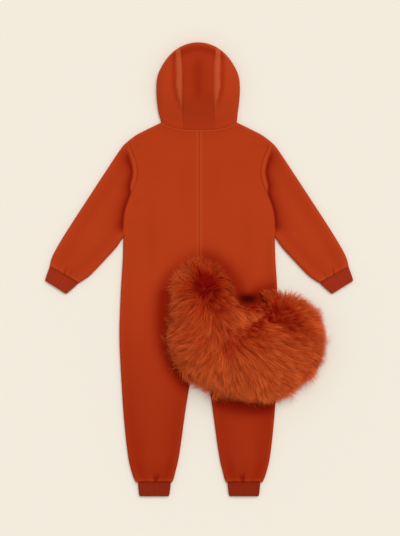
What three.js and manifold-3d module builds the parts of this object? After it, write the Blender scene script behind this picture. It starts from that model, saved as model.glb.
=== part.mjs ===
// Hooded onesie in fleece with a stuffed fur tail, child's size, laid flat with its front underneath.
// Millimetres. X runs across the garment, Y from the ankles to the hood, Z up from where it lies.
// The origin is under the middle of the garment. The wearer's left side is at -X.
import * as THREE from 'three';
import { mergeVertices } from 'three/addons/utils/BufferGeometryUtils.js';
import Module from 'manifold-3d';

const wasm = await Module();
wasm.setup();

// ---- Driving dimensions ----
const cloth = 2.6; // fleece wall
const rib = 2.2; // ribbed cuff wall
const gap = 0.3; // between pieces at a seam
const seamZ = 4.85; // height of the side seams above the surface
const fieldZ = 9; // top of the back where both layers lie flat
const rollHeight = 2.4; // how far a turned seam stands above the field
const rollCrest = 9; // crest of that roll, from the edge
const rollSpread = 7;
const edgeRound = 6; // rounding at the edge, upper layer
const edgeRoundUnder = 5; // and lower layer
const underarmY = 90;
const shoulderX = 198;
const shoulderY = 357;
const crotchY = -232;
const hemY = -595.2;
const ankleEndY = -635;
const easeFrom = 190; // the slope of the shoulders runs out between these heights
const easeTo = 343;

// Half of the garment's edges, from the centre line out
const topEdge = [
  { x: 0, y: 389 },
  { x: 30, y: 389.6 },
  { x: 54, y: 392 },
  { x: 82, y: 399 },
  { x: 106, y: 409 },
  { x: 144, y: 390 },
  { x: 184, y: 370 },
  { x: shoulderX, y: shoulderY },
];
const armhole = [
  { y: shoulderY, x: shoulderX },
  { y: 355.5, x: 197.5 },
  { y: 351, x: 195.5 },
  { y: 343, x: 192.5 },
  { y: 326, x: 186 },
  { y: 296, x: 175.5 },
  { y: 265, x: 172.5 },
  { y: 230, x: 181 },
  { y: 190, x: 197 },
  { y: 150, x: 208 },
  { y: 115, x: 211.2 },
  { y: 97, x: 211.8 },
  { y: 91.5, x: 212 },
  { y: underarmY, x: 212 },
];
const bodyRows = [
  { y: 30, inner: 0, outer: 213.5 },
  { y: -30, inner: 0, outer: 217.3 },
  { y: -95, inner: 0, outer: 220.7 },
  { y: -170, inner: 0, outer: 223 },
  { y: crotchY, inner: 0, outer: 221.8 },
  { y: -268, inner: 13.5, outer: 220.2 },
  { y: -330, inner: 27.5, outer: 216.4 },
  { y: -405, inner: 39.5, outer: 211.4 },
  { y: -485, inner: 50.4, outer: 203.6 },
  { y: -535, inner: 58.5, outer: 196.7 },
  { y: -566, inner: 66, outer: 189 },
  { y: -584, inner: 70.5, outer: 183 },
  { y: hemY, inner: 76.5, outer: 175 },
];
const overarm = [
  { x: shoulderX, y: shoulderY },
  { x: 220, y: 333 },
  { x: 252, y: 288 },
  { x: 311, y: 198 },
  { x: 369, y: 108.5 },
  { x: 402.5, y: 52.5 },
  { x: 418.6, y: 7.7 },
];
const underarm = [
  { x: 212, y: underarmY },
  { x: 232, y: 61 },
  { x: 260, y: 30 },
  { x: 302.5, y: -14.7 },
  { x: 336.3, y: -38.5 },
];
const wristCuff = {
  seamOuter: [418.6, 7.4],
  seamInner: [336, -38.9],
  endOuter: [432, -31.5],
  endInner: [372, -69],
};
const ankleCuff = {
  seamOuter: [173, -595.6],
  seamInner: [78, -595.6],
  endOuter: [168, ankleEndY],
  endInner: [83, ankleEndY],
};
const cuffTop = 8; // height of a cuff lying flat
// Half of a flat cuff's section: share of its width, and of its height
const cuffSection = [
  { across: 0, z: 0.5 },
  { across: 0.02, z: 0.85 },
  { across: 0.07, z: 1 },
  { across: 0.5, z: 1 },
  { across: 0.93, z: 1 },
  { across: 0.98, z: 0.85 },
];

// Hood
const hood = {
  shiftX: -2.8,
  midY: 500,
  halfWidth: 117,
  upper: 135,
  lower: 172,
  neckTaper: 0.094,
  neckY: 411,
  neckHalf: 109,
};
const hoodTop = 40;
const hoodRise = { from: 385, overField: 0.6 }; // where it begins to rise behind the neck
const hoodDome = { edge: 0.8, reach: 70 }; // height by the edge as a share of the middle's
const hoodRound = 17; // rounding of its folded edge
const hoodSeamHalf = 44; // half the centre panel's width, and at the crown
const hoodCrownHalf = 51;
const frontNeckDrop = 345; // front neck seam at the centre
const frontNeckSide = { x: 106.5, y: 410 };
const face = { browY: 588, midY: 520, halfWidth: 74, chinY: 360, chinHalf: 3 };

// Front closure
const placket = { half: 18, top: 344, bottom: -180, lift: 2.8, ramp: 30, fade: 40 };
const button = { radius: 9.5, height: 2.4, rim: 1.2, count: 5, first: 290, pitch: 105 };
const placketRows = [-180, -168, -150, -60, 50, 160, 270, 305, 322, 334, 344];
// How far the closure lifts the back above it, and where that runs out
const ridge = { lift: 2.6, from: 20, to: 46 };

// Tail: its outline, the line that its ridge follows, and the heights along that line
const tailOutline = [
  [8, 37], [-59, -6], [-97, -71], [-100, -139], [-93, -206], [-73, -257], [-46, -295], [-9, -325],
  [32, -345], [73, -366], [127, -379], [168, -383], [215, -369], [270, -339], [317, -298], [344, -251],
  [355, -206], [355, -163], [338, -115], [311, -85], [263, -64], [222, -64], [178, -61], [165, -66],
  [150, -82], [133, -84], [117, -78], [97, -37], [73, 0], [39, 24],
];
const tailCentre = [123, -198];
const tailLine = [
  { x: 11, y: -52, z: 96 },
  { x: 17, y: -184, z: 118 },
  { x: 92, y: -250, z: 126 },
  { x: 200, y: -230, z: 122 },
  { x: 256, y: -160, z: 104 },
  { x: 196, y: -100, z: 82 },
];
const tailBase = 12.4; // it lies on the back, and hangs over the side down to the surface
const tailOverhang = { from: 240, to: 272, z: 1 };
const tailSide = 24; // height of its side before it rounds over
// Height off the ridge line, as a share of the ridge's, and the distances between which it sinks to that
const tailSaddle = { share: 0.62, from: 20, to: 120 };
// Shares of the outline from the middle: underneath, where it rounds up at the edge, and over the top
const tailUnder = [0.5, 0.66, 0.86];
const tailEdge = { share: 0.97, z: 9 };
const tailOver = [1, 0.95, 0.86, 0.74, 0.6, 0.44, 0.26];

// Regions of the plan reach past the garment to here
const far = { x: 150, yTop: 700, yLow: 300, floor: -5, top: 80 };
const neckLine = 412; // where the hood's cut meets its sides
const chinCut = 520; // below this the centre panel has no lower layer

// ---- Helpers ----
const smooth = (a, b, t) => THREE.MathUtils.smoothstep(t, a, b);
const lerp = THREE.MathUtils.lerp;

function curve(points) {
  return new THREE.SplineCurve(points.map((p) => new THREE.Vector2(p.x, p.y)));
}

// Value of column `out` at `at` in a table sorted by column `by`
function lookup(table, by, out, at) {
  const up = table[1][by] > table[0][by];
  let i = 0;
  while (i < table.length - 2 && (up ? at > table[i + 1][by] : at < table[i + 1][by])) i += 1;
  const share = (at - table[i][by]) / (table[i + 1][by] - table[i][by]);
  return lerp(table[i][out], table[i + 1][out], THREE.MathUtils.clamp(share, 0, 1));
}

const rolledEdges = [
  curve(topEdge.slice(4)).getPoints(24),
  curve(overarm).getPoints(60),
  curve(underarm).getPoints(40),
  [{ y: underarmY, outer: 212 }, ...bodyRows].map((r) => new THREE.Vector2(r.outer, r.y)),
  bodyRows.slice(4).map((r) => new THREE.Vector2(r.inner, r.y)),
];

// Distance in plan from a point to the nearest seamed or folded edge
function edgeDistance(x, y) {
  const p = new THREE.Vector3(Math.abs(x), y, 0);
  const near = new THREE.Vector3();
  const line = new THREE.Line3();
  let best = Infinity;
  for (const edge of rolledEdges) {
    for (let i = 0; i < edge.length - 1; i += 1) {
      line.start.set(edge[i].x, edge[i].y, 0);
      line.end.set(edge[i + 1].x, edge[i + 1].y, 0);
      line.closestPointToPoint(p, true, near);
      best = Math.min(best, near.distanceTo(p));
    }
  }
  return best;
}

// From 0 at an edge to 1 at `radius` inside it, along a quarter circle
function rounded(distance, radius) {
  const t = 1 - Math.min(distance / radius, 1);
  return Math.sqrt(1 - t * t);
}

function closureZone(y) {
  const { top, bottom, fade } = placket;
  return smooth(bottom - fade, bottom, y) * (1 - smooth(top - fade, top, y));
}

// Upper face of the back and sleeves
function backZ(x, y) {
  const d = edgeDistance(x, y);
  const roll = rollHeight * Math.exp(-(((d - rollCrest) / rollSpread) ** 2));
  const lifted = ridge.lift * (1 - smooth(ridge.from, ridge.to, Math.abs(x))) * closureZone(y);
  const low = seamZ + gap / 2;
  return low + (fieldZ + roll + lifted - low) * rounded(d, edgeRound);
}

// Lower face of the front and sleeves, flat on the surface inside the rounded edge
function frontZ(x, y) {
  const { half, ramp, lift } = placket;
  const layers = x < 0 ? lift : 2 * lift + gap;
  const lifted = layers * (1 - smooth(half, half + ramp, Math.abs(x))) * closureZone(y);
  return Math.max(underZ(x, y), lifted);
}

function underZ(x, y) {
  return (seamZ - gap / 2) * (1 - rounded(edgeDistance(x, y), edgeRoundUnder));
}

// A wall of cloth from a grid of points on its outer face. `turn` is the side the face looks to. `butt`
// gives the directions of the seams through a point where the wall meets another piece edge to edge, so
// that its cut edge stays upright there. `ring` closes the grid's columns into a tube. `low` and `high`
// limit the height of the inner face.
function wall(outer, thick, shape) {
  const { turn = 1, butt = () => [], ring = false, low = -Infinity, high = () => Infinity } = shape;
  const rows = outer.length;
  const cols = outer[0].length;
  const at = (r, c) => outer[r][ring ? (c + cols) % cols : Math.min(Math.max(c, 0), cols - 1)];
  const inner = outer.map((row, r) => row.map((p, c) => {
    const [before, after] = [Math.max(r - 1, 0), Math.min(r + 1, rows - 1)];
    const down = new THREE.Vector3().subVectors(at(after, c), at(before, c));
    const across = new THREE.Vector3().subVectors(at(r, c + 1), at(r, c - 1));
    const normal = new THREE.Vector3().crossVectors(across, down).multiplyScalar(turn).normalize();
    for (const seam of butt(r, c, across, down)) {
      const along = seam.clone().setZ(0).normalize();
      const upright = new THREE.Vector3(0, 0, normal.z);
      normal.copy(along.multiplyScalar(normal.dot(along)).add(upright)).normalize();
    }
    const q = p.clone().addScaledVector(normal, -thick);
    q.z = THREE.MathUtils.clamp(q.z, low, high(p));
    return q;
  }));
  const positions = [...outer.flat(), ...inner.flat()].flatMap((p) => [p.x, p.y, p.z]);
  const index = [];
  const quad = (a, b, c, d) => index.push(a, b, c, a, c, d);
  const id = (r, c) => r * cols + (c % cols);
  const under = rows * cols;
  const span = ring ? cols : cols - 1;
  for (let r = 0; r < rows - 1; r += 1) {
    for (let c = 0; c < span; c += 1) {
      quad(id(r, c), id(r, c + 1), id(r + 1, c + 1), id(r + 1, c));
      quad(under + id(r, c), under + id(r + 1, c), under + id(r + 1, c + 1), under + id(r, c + 1));
    }
    if (!ring) {
      quad(id(r, 0), id(r + 1, 0), under + id(r + 1, 0), under + id(r, 0));
      quad(id(r, cols - 1), under + id(r, cols - 1), under + id(r + 1, cols - 1), id(r + 1, cols - 1));
    }
  }
  for (let c = 0; c < span; c += 1) {
    quad(id(0, c), under + id(0, c), under + id(0, c + 1), id(0, c + 1));
    quad(id(rows - 1, c), id(rows - 1, c + 1), under + id(rows - 1, c + 1), under + id(rows - 1, c));
  }
  return facingOut(positions, index);
}

// A closed mesh with its faces turned outwards
function facingOut(positions, index) {
  let volume = 0;
  const corner = (i) => new THREE.Vector3().fromArray(positions, 3 * index[i]);
  for (let i = 0; i < index.length; i += 3) volume += corner(i).dot(corner(i + 1).cross(corner(i + 2)));
  if (volume < 0) index.reverse();
  const geometry = new THREE.BufferGeometry();
  geometry.setAttribute('position', new THREE.Float32BufferAttribute(positions, 3));
  geometry.setIndex(index);
  return geometry;
}

function solid(geometry) {
  const bare = geometry.clone();
  bare.deleteAttribute('normal');
  bare.deleteAttribute('uv');
  const merged = mergeVertices(bare, 1e-4);
  const mesh = new wasm.Mesh({
    numProp: 3,
    vertProperties: new Float32Array(merged.attributes.position.array),
    triVerts: new Uint32Array(merged.index.array),
  });
  return new wasm.Manifold(mesh);
}

function geometryOf(manifold) {
  const mesh = manifold.getMesh();
  const geometry = new THREE.BufferGeometry();
  geometry.setAttribute('position', new THREE.BufferAttribute(mesh.vertProperties, 3));
  geometry.setIndex(new THREE.BufferAttribute(mesh.triVerts, 1));
  return geometry;
}

// A region of the plan between two heights
function prism(points, from, to) {
  const shape = new THREE.Shape(points.map(([x, y]) => new THREE.Vector2(x, y)));
  const geometry = new THREE.ExtrudeGeometry(shape, { depth: to - from, bevelEnabled: false });
  return solid(geometry.translate(0, 0, from));
}

const garment = new THREE.Group();

function fabric(color, roughness) {
  return new THREE.MeshStandardMaterial({ color, roughness, metalness: 0 });
}

function add(name, geometry, material) {
  geometry.computeVertexNormals();
  const mesh = new THREE.Mesh(geometry, material());
  mesh.name = name;
  garment.add(mesh);
}

const fleece = () => fabric(0xb23a18, 0.95);
const ribKnit = () => fabric(0x8f2c14, 0.9);
const fur = () => fabric(0xb04a22, 1);
const horn = () => fabric(0x7a2a14, 0.5);

// ---- Body and legs ----
// Rows of the half body with the shoulder and neck edge easing out below the shoulders
const halfRows = [
  ...armhole.map(({ x, y }) => ({ y, inner: 0, outer: x - gap / 2, ease: smooth(easeFrom, easeTo, y) })),
  ...bodyRows.map((r) => ({ ...r, ease: 0 })),
];

// Columns of the half body: steps in from its two edges, and shares of the width left between them. The
// back has one that ends at the corner of the neck.
const backColumns = {
  inner: [0, 1, 4, 10, 20],
  middle: [0.2, 0.36, 0.544, 0.77],
  outer: [0, 1, 4, 10, 20],
};
const frontColumns = { inner: [0, 1, 4, 18, 33, 48], middle: [0.5], outer: [0, 1, 4, 14] };

function bodyGrid(side, columns, height) {
  const { inner: innerSteps, middle, outer: outerSteps } = columns;
  return halfRows.map((row) => {
    const inner = row.inner + (row.inner === 0 ? gap / 2 : 0);
    const a = inner + innerSteps.at(-1);
    const b = row.outer - outerSteps.at(-1);
    const xs = [
      ...innerSteps.map((step) => inner + step),
      ...middle.map((share) => lerp(a, b, share)),
      ...outerSteps.toReversed().map((step) => row.outer - step),
    ];
    return xs.map((x) => {
      const rise = lookup(topEdge, 'x', 'y', (x * shoulderX) / (row.outer + gap / 2)) - shoulderY;
      const y = row.y + rise * row.ease;
      return new THREE.Vector3(side * x, y, height(side * x, y));
    });
  });
}

// Seams of the half body: collar, hem, centre line down to the crotch, and armhole
function bodySeams(grid) {
  const end = grid[0].length - 1;
  return (r, c, across, down) => {
    const p = grid[r][c];
    const seams = [];
    if (r === halfRows.length - 1 || (r === 0 && Math.abs(p.x) < hood.neckHalf)) seams.push(across);
    if (c === 0 && p.y >= crotchY) seams.push(down);
    if (c === end && r < armhole.length) seams.push(down);
    return seams;
  };
}

function backPanel(side) {
  const grid = bodyGrid(side, backColumns, backZ);
  return wall(grid, cloth, { turn: -side, butt: bodySeams(grid), low: seamZ + gap / 2 });
}

function frontPanel(side) {
  const grid = bodyGrid(side, frontColumns, frontZ);
  const high = (p) => (edgeDistance(p.x, p.y) > placket.half ? Infinity : seamZ - gap / 2);
  const panel = solid(wall(grid, cloth, { turn: side, butt: bodySeams(grid), high }));
  const { half, bottom } = placket;
  const clear = half + gap;
  const slit = [[-clear, bottom - gap], [clear, bottom - gap], [clear, far.yTop], [-clear, far.yTop]];
  const opening = prism(slit, far.floor, far.top);
  const aboveNeck = [...frontNeck(-gap / 2), [-far.x, far.yTop], [far.x, far.yTop]];
  const neck = prism(aboveNeck, far.floor, far.top);
  return geometryOf(panel.subtract(opening).subtract(neck));
}

// Front neck seam from the wearer's right to the left, moved by `shift`
function frontNeck(shift) {
  const at = [1, 0.92, 0.75, 0.5, 0.25, 0, -0.25, -0.5, -0.75, -0.92, -1];
  const { x, y } = frontNeckSide;
  return at.map((t) => [t * x, lerp(frontNeckDrop, y, Math.abs(t) ** 2.4) + shift]);
}

// ---- Sleeves ----
const sleeveRows = [0, 0.12, 0.3, 0.5, 0.7, 0.86, 0.95, 1];
const overarmCurve = curve(overarm);
const underarmCurve = curve(underarm);

// Point of the sleeve's plan: `across` from the fold over the arm to the seam, `along` to the wrist
function sleevePlan(hole, across, along) {
  const fold = overarmCurve.getPoint(along);
  const seam = underarmCurve.getPoint(along);
  const bow = (key) => (hole[key] - lerp(armhole[0][key], armhole.at(-1)[key], across)) * (1 - along);
  return { x: lerp(fold.x, seam.x, across) + bow('x'), y: lerp(fold.y, seam.y, across) + bow('y') };
}

// One piece of cloth from the seam under the arm, round the fold over it and back
function sleeve(side) {
  const holes = armhole.map((a) => {
    const across = (shoulderY - a.y) / (shoulderY - underarmY);
    return { x: a.x + gap / 2, y: a.y, across };
  });
  const grid = sleeveRows.map((along) => {
    const layer = (height) => holes.map((hole) => {
      const { x, y } = sleevePlan(hole, hole.across, along);
      return new THREE.Vector3(side * x, y, height(x, y));
    });
    const upper = layer(backZ);
    const lower = layer(underZ);
    upper[0].z = seamZ;
    upper.at(-1).z = seamZ + gap / 2;
    lower.at(-1).z = seamZ - gap / 2;
    return [...lower.slice(1).toReversed(), ...upper];
  });
  const last = sleeveRows.length - 1;
  const butt = (r, c, across) => (r === 0 || r === last ? [across] : []);
  return wall(grid, cloth, { turn: side, butt });
}

// ---- Cuffs ----
// A ribbed tube lying flat, from the seam to its open end
function cuff(side, plan, shares) {
  const corner = (a, b, along) => new THREE.Vector2(...a).lerp(new THREE.Vector2(...b), along);
  const grid = shares.map((along) => {
    const outer = corner(plan.seamOuter, plan.endOuter, along);
    const inner = corner(plan.seamInner, plan.endInner, along);
    const upper = cuffSection.map((p) => ({ share: p.across, z: p.z * cuffTop }));
    const lower = cuffSection.map((p) => ({ share: 1 - p.across, z: (1 - p.z) * cuffTop }));
    return [...upper, ...lower].map(({ share, z }) => {
      const p = outer.clone().lerp(inner, share);
      return new THREE.Vector3(side * p.x, p.y, z);
    });
  });
  const [outerX, outerY] = plan.seamOuter;
  const [innerX, innerY] = plan.seamInner;
  const width = new THREE.Vector3(side * (innerX - outerX), innerY - outerY, 0);
  return wall(grid, rib, { turn: side, butt: () => [width], ring: true });
}

// ---- Hood ----
// Distance from the hood's middle to its folded edge, at an angle from +X
function hoodReach(angle) {
  const c = Math.abs(Math.cos(angle));
  const s = Math.sin(angle);
  if (s >= 0) return 1 / Math.hypot(c / hood.halfWidth, s / hood.upper);
  return ((c / hood.halfWidth) ** 6 + (-s / hood.lower) ** 6) ** (-1 / 6);
}

// The hood is highest behind the crown and comes down to the collar
function hoodZ(y, distance) {
  const crown = smooth(hoodRise.from, hood.midY, y);
  const top = lerp(fieldZ + hoodRise.overField, hoodTop, crown);
  const radius = lerp(edgeRound, hoodRound, crown);
  const dome = lerp(hoodDome.edge, 1, smooth(0, hoodDome.reach, distance));
  return seamZ + (top - seamZ) * rounded(distance, radius) * dome;
}

// Closed form of the hood, `inset` inside its outer face
function hoodForm(inset) {
  const rings = [0, 1.5, 5, 10, 17, 32, 56];
  const around = 40;
  const positions = [];
  const point = (angle, distance, z) => {
    const reach = hoodReach(angle) - inset - distance;
    const y = hood.midY + reach * Math.sin(angle);
    const down = Math.max(hood.midY - y, 0) / (hood.midY - hood.neckY);
    const x = hood.shiftX + reach * Math.cos(angle) * (1 - hood.neckTaper * Math.min(down, 1.2) ** 1.7);
    positions.push(x, y, z(y));
  };
  const underRings = [edgeRoundUnder, edgeRoundUnder / 3];
  const loops = [
    ...underRings.map((d) => ({ d, z: () => inset + seamZ * (1 - rounded(d, edgeRoundUnder)) })),
    ...rings.map((d) => ({ d, z: (y) => Math.max(hoodZ(y, d) - (d > 0 ? inset : 0), seamZ) })),
  ];
  for (const loop of loops) {
    for (let i = 0; i < around; i += 1) point((i / around) * 2 * Math.PI, loop.d, loop.z);
  }
  positions.push(hood.shiftX, hood.midY, inset);
  positions.push(hood.shiftX, hood.midY, hoodTop - inset);
  return facingOut(positions, ringIndex(loops.length, around));
}

// Faces of a stack of closed loops, with one more point closing each end
function ringIndex(loops, around) {
  const index = [];
  const first = loops * around;
  for (let i = 0; i < around; i += 1) {
    const j = (i + 1) % around;
    for (let k = 0; k < loops - 1; k += 1) {
      const [a, b] = [k * around + i, k * around + j];
      const [c, d] = [b + around, a + around];
      index.push(a, b, c, a, c, d);
    }
    index.push(first, j, i, first + 1, first - around + i, first - around + j);
  }
  return index;
}

function faceOpening() {
  const { browY, midY, halfWidth, chinY, chinHalf } = face;
  const half = [
    { y: browY, x: 0 },
    { y: browY - 3, x: 30 },
    { y: browY - 14, x: 52 },
    { y: browY - 36, x: 69 },
    { y: midY, x: halfWidth },
    { y: midY - 40, x: 66 },
    { y: midY - 80, x: 44 },
    { y: midY - 112, x: 20 },
    { y: midY - 130, x: 9 },
    { y: chinY, x: chinHalf },
    { y: frontNeckDrop - 10, x: gap / 2 },
  ];
  const right = half.map(({ x, y }) => [x, y]);
  const left = half.slice(1).toReversed().map(({ x, y }) => [-x, y]);
  return prism([...right, ...left], far.floor, seamZ);
}

// Seam between the centre panel and a side panel, `shift` further out
function hoodSeam(side, shift) {
  const line = [
    { y: 370, x: hoodSeamHalf },
    { y: 560, x: hoodSeamHalf },
    { y: 600, x: lerp(hoodSeamHalf, hoodCrownHalf, 0.4) },
    { y: 640, x: hoodCrownHalf },
  ];
  return line.map(({ x, y }) => [hood.shiftX + side * (x + shift), y]);
}

function hoodPanels() {
  const shell = solid(hoodForm(0)).subtract(solid(hoodForm(cloth))).subtract(faceOpening());
  const edge = bodyGrid(1, backColumns, backZ)[0].filter((p) => p.x < hood.neckHalf);
  const mirrored = edge.toReversed().map((p) => [-p.x, p.y + gap]);
  const collar = [...mirrored, ...edge.map((p) => [p.x, p.y + gap])];
  const over = (neck) => [
    [-far.x, neckLine], ...neck, [far.x, neckLine], [far.x, far.yTop], [-far.x, far.yTop],
  ];
  const above = prism(over(collar), seamZ - gap, far.top);
  const below = prism(over(frontNeck(gap / 2).toReversed()), far.floor, seamZ - gap);
  const cut = shell.intersect(above.add(below));
  const between = (shift) => {
    return prism([...hoodSeam(-1, shift), ...hoodSeam(1, shift).toReversed()], far.floor, far.top);
  };
  const block = (from, to, low, high, top) => {
    return prism([[from, low], [to, low], [to, high], [from, high]], far.floor, top);
  };
  const chin = block(-far.x, far.x, far.yLow, chinCut, seamZ);
  const sides = cut.subtract(between(gap).subtract(chin));
  return {
    centre: cut.intersect(between(0).subtract(chin)),
    left: sides.intersect(block(-far.x, -gap / 2, far.yLow, far.yTop, far.top)),
    right: sides.intersect(block(gap / 2, far.x, far.yLow, far.yTop, far.top)),
  };
}

// ---- Closure ----
function closureLift(y) {
  return placket.lift * closureZone(y);
}

// A band along the centre front; the upper one lies `above` the lower
function placketBand(above) {
  const sides = [-placket.half, placket.half];
  const grid = placketRows.map((y) => sides.map((x) => new THREE.Vector3(x, y, closureLift(y) + above)));
  return wall(grid, cloth, { turn: -1 });
}

function flatButton(y) {
  const { radius, height, rim } = button;
  const dish = { r: radius * 0.5, lip: radius * 0.62, depth: 0.4 };
  const profile = [
    [0, dish.depth],
    [dish.r, dish.depth],
    [dish.lip, 0],
    [radius - rim, 0],
    [radius, height / 2],
    [radius - rim, height],
    [0, height],
  ];
  const points = profile.map(([r, z]) => new THREE.Vector2(r, z));
  return new THREE.LatheGeometry(points, 14).rotateX(Math.PI / 2).translate(0, y, 0);
}

// ---- Tail ----
// Distance from the ridge line, and the ridge's height where it is nearest
function ridgeNear(x, y) {
  let best = { distance: Infinity, z: 0 };
  const line = new THREE.CatmullRomCurve3(tailLine.map((p) => new THREE.Vector3(p.x, p.y, p.z)));
  for (const p of line.getPoints(40)) {
    const distance = Math.hypot(p.x - x, p.y - y);
    if (distance < best.distance) best = { distance, z: p.z };
  }
  return best;
}

function tailForm() {
  const around = tailOutline.length;
  const [cx, cy] = tailCentre;
  const positions = [];
  const low = (x) => lerp(tailBase, tailOverhang.z, smooth(tailOverhang.from, tailOverhang.to, x));
  const loops = [
    ...tailUnder.map((share) => ({ share, z: low })),
    { share: tailEdge.share, z: (x) => low(x) + tailEdge.z },
  ];
  const top = (x, y, share) => {
    const { distance, z } = ridgeNear(x, y);
    const crown = lerp(1, tailSaddle.share, smooth(tailSaddle.from, tailSaddle.to, distance));
    const base = low(x) + tailSide;
    return base + (z * crown - base) * Math.sqrt(1 - share ** 4);
  };
  for (const share of tailOver) loops.push({ share, z: (x, y) => top(x, y, share) });
  for (const loop of loops) {
    for (const [ox, oy] of tailOutline) {
      const x = lerp(cx, ox, loop.share);
      const y = lerp(cy, oy, loop.share);
      positions.push(x, y, loop.z(x, y));
    }
  }
  positions.push(cx, cy, low(cx));
  positions.push(cx, cy, top(cx, cy, 0));
  return facingOut(positions, ringIndex(loops.length, around));
}

// ---- The garment ----
const hoodParts = hoodPanels();
add('hood_centre', geometryOf(hoodParts.centre), fleece);
add('hood_side_left', geometryOf(hoodParts.left), fleece);
add('hood_side_right', geometryOf(hoodParts.right), fleece);
for (const [name, side] of [['left', -1], ['right', 1]]) {
  add(`back_${name}`, backPanel(side), fleece);
  add(`front_${name}`, frontPanel(side), fleece);
  add(`sleeve_${name}`, sleeve(side), fleece);
  add(`wrist_cuff_${name}`, cuff(side, wristCuff, [0, 0.5, 1]), ribKnit);
  add(`ankle_cuff_${name}`, cuff(side, ankleCuff, [0, 0.5, 1]), ribKnit);
}
add('placket_outer', placketBand(0), fleece);
add('placket_inner', placketBand(cloth + gap), fleece);
for (let i = 0; i < button.count; i += 1) {
  add(`button_${i + 1}`, flatButton(button.first - i * button.pitch), horn);
}
add('tail', tailForm(), fur);

export default garment;
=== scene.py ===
"""Hooded fleece onesie with a stuffed fur tail, laid flat with its back up.

Lengths in the tables are millimetres. Outlines are those of the half on +X and serve both sides.
"""

import math

import bpy
import mathutils
import numpy as np
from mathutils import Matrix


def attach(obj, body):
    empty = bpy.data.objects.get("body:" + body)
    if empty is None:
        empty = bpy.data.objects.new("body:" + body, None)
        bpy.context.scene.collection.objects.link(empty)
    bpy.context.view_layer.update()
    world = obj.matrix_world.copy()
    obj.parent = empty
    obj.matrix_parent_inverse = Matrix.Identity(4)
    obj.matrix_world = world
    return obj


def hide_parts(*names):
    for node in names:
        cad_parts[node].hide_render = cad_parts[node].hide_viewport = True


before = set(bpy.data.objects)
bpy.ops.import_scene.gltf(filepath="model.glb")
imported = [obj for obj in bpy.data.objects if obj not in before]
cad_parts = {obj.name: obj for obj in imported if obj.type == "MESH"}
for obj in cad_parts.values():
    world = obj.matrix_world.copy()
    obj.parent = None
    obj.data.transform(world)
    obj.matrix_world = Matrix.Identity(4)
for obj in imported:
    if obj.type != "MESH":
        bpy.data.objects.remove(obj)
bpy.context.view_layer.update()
MM = 0.001

# ---- Cloth: walls, and the heights that the seams and the open cloth lie at ----
FLEECE = 2.6
RIB_WALL = 2.2
GAP = 0.14
SEAM_Z = 4.85
FIELD_Z = 11.0

# ---- Cut of the garment, from the centre line out ----
NAPE_Y = 389
UNDERARM_Y = 90.0
CROTCH_Y = -232.0
HEM_Y = -595.2
SHOULDER = (198.0, 359.0)
NECK_CORNER = (106, 410.5)
COLLAR = [(0, NAPE_Y), (30, 389.6), (54, 392), (82, 399), NECK_CORNER]
FRONT_NECK = [(0, 345), (30, 349), (56, 362), (80, 381), (96, 399), NECK_CORNER]
SHOULDER_SEAM = [NECK_CORNER, (144, 392), (172, 377.8), (188, 367), SHOULDER]
ARMHOLE = [
    SHOULDER, (193, 343), (186, 326), (176, 296), (172.5, 265), (181, 230), (197, 190), (208, 150),
    (212, UNDERARM_Y),
]
SIDE_SEAM = [
    (212, UNDERARM_Y), (213.5, 30), (217.3, -30), (220.7, -95), (223, -170), (221.8, CROTCH_Y),
    (216.4, -330), (211.4, -405), (203.6, -485), (196.7, -535), (189, -566), (183, -584), (177.5, HEM_Y),
]
INSEAM = [
    (0, CROTCH_Y), (13.5, -268), (27.5, -330), (39.5, -405), (50.4, -485), (58.5, -535), (66, -566),
    (70.5, -584), (75, HEM_Y),
]
OVERARM = [
    SHOULDER, (209, 349.5), (221, 334.5), (252, 288), (311, 198), (369, 108.5), (402.5, 52.5), (414, 27),
    (418.6, 7.7),
]
UNDERARM = [(212, UNDERARM_Y), (232, 61), (260, 30), (302.5, -14.7), (322, -29.5), (336.3, -38.5)]
# Cuffs: the corners at the seam and at the open end, ribs all round, and how much painted shade darkens the
# rib
WRIST = dict(
    seam_outer=(417.5, 7.6), seam_inner=(337.5, -38.6), end_outer=(431.5, -31.5), end_inner=(371.8, -69),
    ribs=62, shade=0.0,
)
ANKLE = dict(
    seam_outer=(171, -595.4), seam_inner=(79, -595.4), end_outer=(167.2, -634.8), end_inner=(84, -634.8),
    ribs=66, shade=0.4,
)
CUFF_HEIGHT = 9.0
PLACKET = dict(half=18.0, top=344.0, bottom=-180.0, lift=2.8, ramp=30.0, fade=40.0)

HOOD = dict(
    shift=-2.8, mid_y=500.0, half=117.0, upper=135.0, neck_y=410.0, taper=11.5, fuller=2.0, height=40.0,
)
HOOD_SEAM = [(44, 391), (43.5, 430), (44, 520), (45, 570), (47.5, 600), (51, 621.5)]
FACE_OPENING = [
    (0.4, 346), (3, 362), (9, 390), (20, 408), (44, 440), (66, 480), (74, 520), (69, 552), (52, 574),
]
BROW = (47, 582)
# The raised crescent outside each of the hood's seams
PUFF = dict(width=17.0, height=5.5)

# ---- Tail ----
# Reach of the pile on the cloth
TAIL_OUTLINE = [
    (8, 37), (-26, 22), (-59, -6), (-82, -38), (-97, -71), (-100, -139), (-93, -206), (-73, -257),
    (-46, -295), (-9, -325), (32, -345), (73, -366), (127, -379), (168, -383), (215, -369), (270, -339),
    (317, -298), (344, -251), (355, -206), (355, -163), (338, -115), (311, -85), (263, -64), (222, -60),
    (185, -62), (165, -70), (150, -84), (133, -86), (117, -78), (97, -37), (73, 0), (39, 24),
]
# Edge of the stuffed form, inside the reach of the pile
TAIL_FORM = [
    (7, -26), (-8, -36), (-17, -60), (-26, -106), (-31, -160), (-25, -200), (-10, -230), (14, -257),
    (50, -282), (92, -300), (142, -313), (190, -310), (228, -291), (257, -263), (274, -234), (288, -203),
    (290, -170), (279, -143), (257, -125), (228, -114), (198, -107), (172, -104), (150, -105), (128, -107),
    (106, -108), (83, -105), (61, -92), (42, -66), (24, -37),
]
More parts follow.
